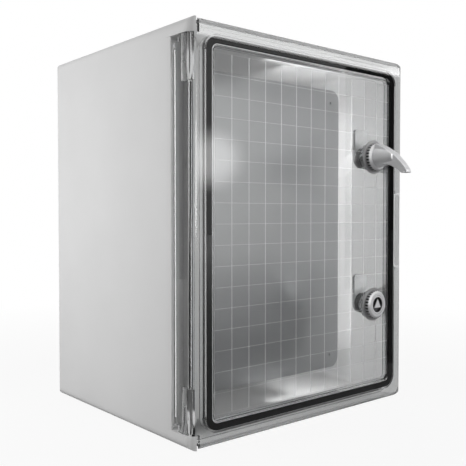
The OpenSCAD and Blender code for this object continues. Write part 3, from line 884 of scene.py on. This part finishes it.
# %% Lattice of the moulded grid
GRID_COLUMNS, GRID_ROWS = 12, 17
RIB_THICK = 2 * MM
GRID_LEFT, GRID_RIGHT, GRID_END = 0.3 * MM, 2.2 * MM, 5.5 * MM
LINE_WIDTH = 0.65 * MM
ACROSS_FINER = 2.5
window_in = SEAL_WIDTH + RIB_THICK
grid_low = seal_low + Vector((window_in + GRID_LEFT, 0, window_in + GRID_END))
grid_high = seal_high - Vector((window_in + GRID_RIGHT, 0, window_in + GRID_END))
begin()
bpy.ops.mesh.primitive_grid_add(x_subdivisions=GRID_COLUMNS, y_subdivisions=GRID_ROWS, size=1,
                                rotation=(UPRIGHT, 0, 0), location=(0, 0, 0))
bpy.ops.object.mode_set(mode="EDIT")
bpy.ops.transform.resize(value=(grid_high.x - grid_low.x, 1, (grid_high.z - grid_low.z) * ACROSS_FINER))
bpy.ops.object.mode_set(mode="OBJECT")
lattice = bpy.context.object
lattice.modifiers.new("lines", "WIREFRAME").thickness = LINE_WIDTH
bpy.ops.object.modifier_apply(modifier="lines")
bpy.ops.object.transform_apply(location=True, rotation=True, scale=True)
print("lattice faces:", len(lattice.data.polygons))

# %% Moulded grid on the plate
LINE_HEIGHT = 0.2 * MM
SKIN_GAP = 0.02 * MM
NO_TINT = (1.0, 1.0, 1.0)
clear_ridge = clear_moulding("clear_ridge", NO_TINT, clearest=0.25, cloudiest=0.4, clear_share=0.85)
bpy.ops.object.mode_set(mode="EDIT")
bpy.ops.mesh.select_all(action="SELECT")
bpy.ops.transform.resize(value=(1, LINE_HEIGHT / LINE_WIDTH, 1 / ACROSS_FINER))
bpy.ops.transform.translate(value=((grid_low.x + grid_high.x) / 2,
                                   seal_low.y + LINE_HEIGHT / 2 + SKIN_GAP,
                                   (grid_low.z + grid_high.z) / 2))
finish_piece("door_grid", "door", "clear_moulding", look=clear_ridge)

# %% [markdown]
# On the free edge the door has a finger pull. Its outline shows through the clear rim as a long round-ended
# ring, which is half milky, a painted highlight. A curve with a bevel could draw it, but like the seal it is
# a plane with round corners, inset to a ring and extruded a little, because that gives it flat faces that lie
# against the rim.

# %% Finger pull outline
PULL_FAR_IN, PULL_NEAR_IN = 13.5 * MM, 2.5 * MM
PULL_HALF = 42 * MM
PULL_CORNER = 4 * MM
PULL_STEPS = 6
PULL_LINE = 1.8 * MM
PULL_DEEP = 1.2 * MM
right_side = cad_box[1][0]
mid_height = (cad_box[0][2] + cad_box[1][2]) / 2
pull_low = Vector((right_side - PULL_FAR_IN, 0, mid_height - PULL_HALF))
pull_high = Vector((right_side - PULL_NEAR_IN, 0, mid_height + PULL_HALF))
# painted highlight: the ring is half milky so that it shows as bright lines
pull_highlight = clear_moulding("pull_highlight", NO_TINT, clearest=0.2, cloudiest=0.3, clear_share=0.5)
round_ring(pull_low, pull_high, seal_low.y + SKIN_GAP, PULL_CORNER, PULL_STEPS, PULL_LINE, PULL_DEEP)
finish_piece("pull_outline", "door", "clear_moulding", look=pull_highlight)

# %% [markdown]
# Where the inner rib of the door leaves its plate, the moulding has a fine round that catches the light along
# the seal. A wider Bevel on the door would round everything else as well, so this is one more ring, as thin
# as a line, just inside the foam, partly milky: a painted highlight on the round. It is cut off towards the
# lock side, where no bright line shows.

# %% Painted highlight along the rib
RIB_LINE = 0.7 * MM
RIB_DEEP = 0.4 * MM
line_low = seal_low + Vector((SEAL_WIDTH, 0, SEAL_WIDTH))
line_high = seal_high - Vector((SEAL_WIDTH, 0, SEAL_WIDTH))
# partly painted highlight: the thin ring is milky and stops where the rib shows no bright line
round_ring(line_low, line_high, seal_low.y + SKIN_GAP, SEAL_CORNER - SEAL_WIDTH, CORNER_STEPS,
           RIB_LINE, RIB_DEEP)
bpy.ops.mesh.bisect(plane_co=(line_high.x - SEAL_CORNER, 0, 0), plane_no=(1, 0, 0), use_fill=True,
                    clear_outer=True)
finish_piece("rib_highlight_line", "door", "clear_moulding", look=clear_ridge)

# %% [markdown]
# The free edge of the hinge flap is round as well and shows as one bright upright line. It could be a glow in
# the material of the door, but then it would shine in the dark. So it is a thin rod of mostly milky plastic,
# a
# painted highlight: a cylinder set at the edge and beveled at both ends.

# %% Painted highlight on the hinge flap
BEAD_SIDES = 16
BEAD_RADIUS = 0.7 * MM
BEAD_LONG = 326 * MM
BEAD_IN, BEAD_BEHIND = 0.8 * MM, 23.6 * MM
END_NEAR = 0.01 * MM
left_side = cad_box[0][0]
door_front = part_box("door_panel")[0].y
# painted highlight: the rod is mostly milky white where the clear edge has only a highlight
bead_highlight = clear_moulding("bead_highlight", NO_TINT, clearest=0.2, cloudiest=0.3, clear_share=0.2)
begin()
bpy.ops.mesh.primitive_cylinder_add(vertices=BEAD_SIDES, radius=BEAD_RADIUS, depth=BEAD_LONG,
                                    location=(left_side + BEAD_IN, door_front + BEAD_BEHIND, mid_height))
bpy.ops.object.mode_set(mode="EDIT")
pick_edges(lambda edge, middle: abs(middle.z) > BEAD_LONG / 2 - END_NEAR)
bpy.ops.mesh.bevel(offset=BEAD_RADIUS / 2, segments=EDGE_STEPS, affect="EDGES")
finish_piece("flap_highlight_bead", "door", "clear_moulding", look=bead_highlight)

# %% [markdown]
# Beside the hinge channel the wall of the box ends in a thin lip that comes close to the flap, so only a dark
# slit shows between them. A dark line in the material could fake the slit, but it would stay when the door
# opens. So the lip is a long flat bar that laps over the edge of the wall, with its free end rounded.

# %% Lip of the wall at the hinge channel
LIP_THICK = 1.8 * MM
LIP_PROUD = 0.05 * MM
LIP_FREE, LIP_BACK = 29.5 * MM, 37.5 * MM
LIP_FROM_ENDS = 14.2 * MM
LIP_ROUND = 0.6 * MM
lip_long = cad_box[1][2] - cad_box[0][2] - 2 * LIP_FROM_ENDS
begin()
bpy.ops.mesh.primitive_cube_add(size=1, location=(left_side - LIP_PROUD + LIP_THICK / 2,
                                                  door_front + (LIP_FREE + LIP_BACK) / 2, mid_height))
bpy.ops.object.mode_set(mode="EDIT")
bpy.ops.transform.resize(value=(LIP_THICK, LIP_BACK - LIP_FREE, lip_long))
pick_edges(lambda edge, middle: middle.y < 0 and abs(middle.x) > LIP_THICK / 4
           and abs(middle.z) < LIP_THICK)
bpy.ops.mesh.bevel(offset=LIP_ROUND, segments=EDGE_STEPS, affect="EDGES")
finish_piece("wall_lip", "cabinet", "grey_moulding")
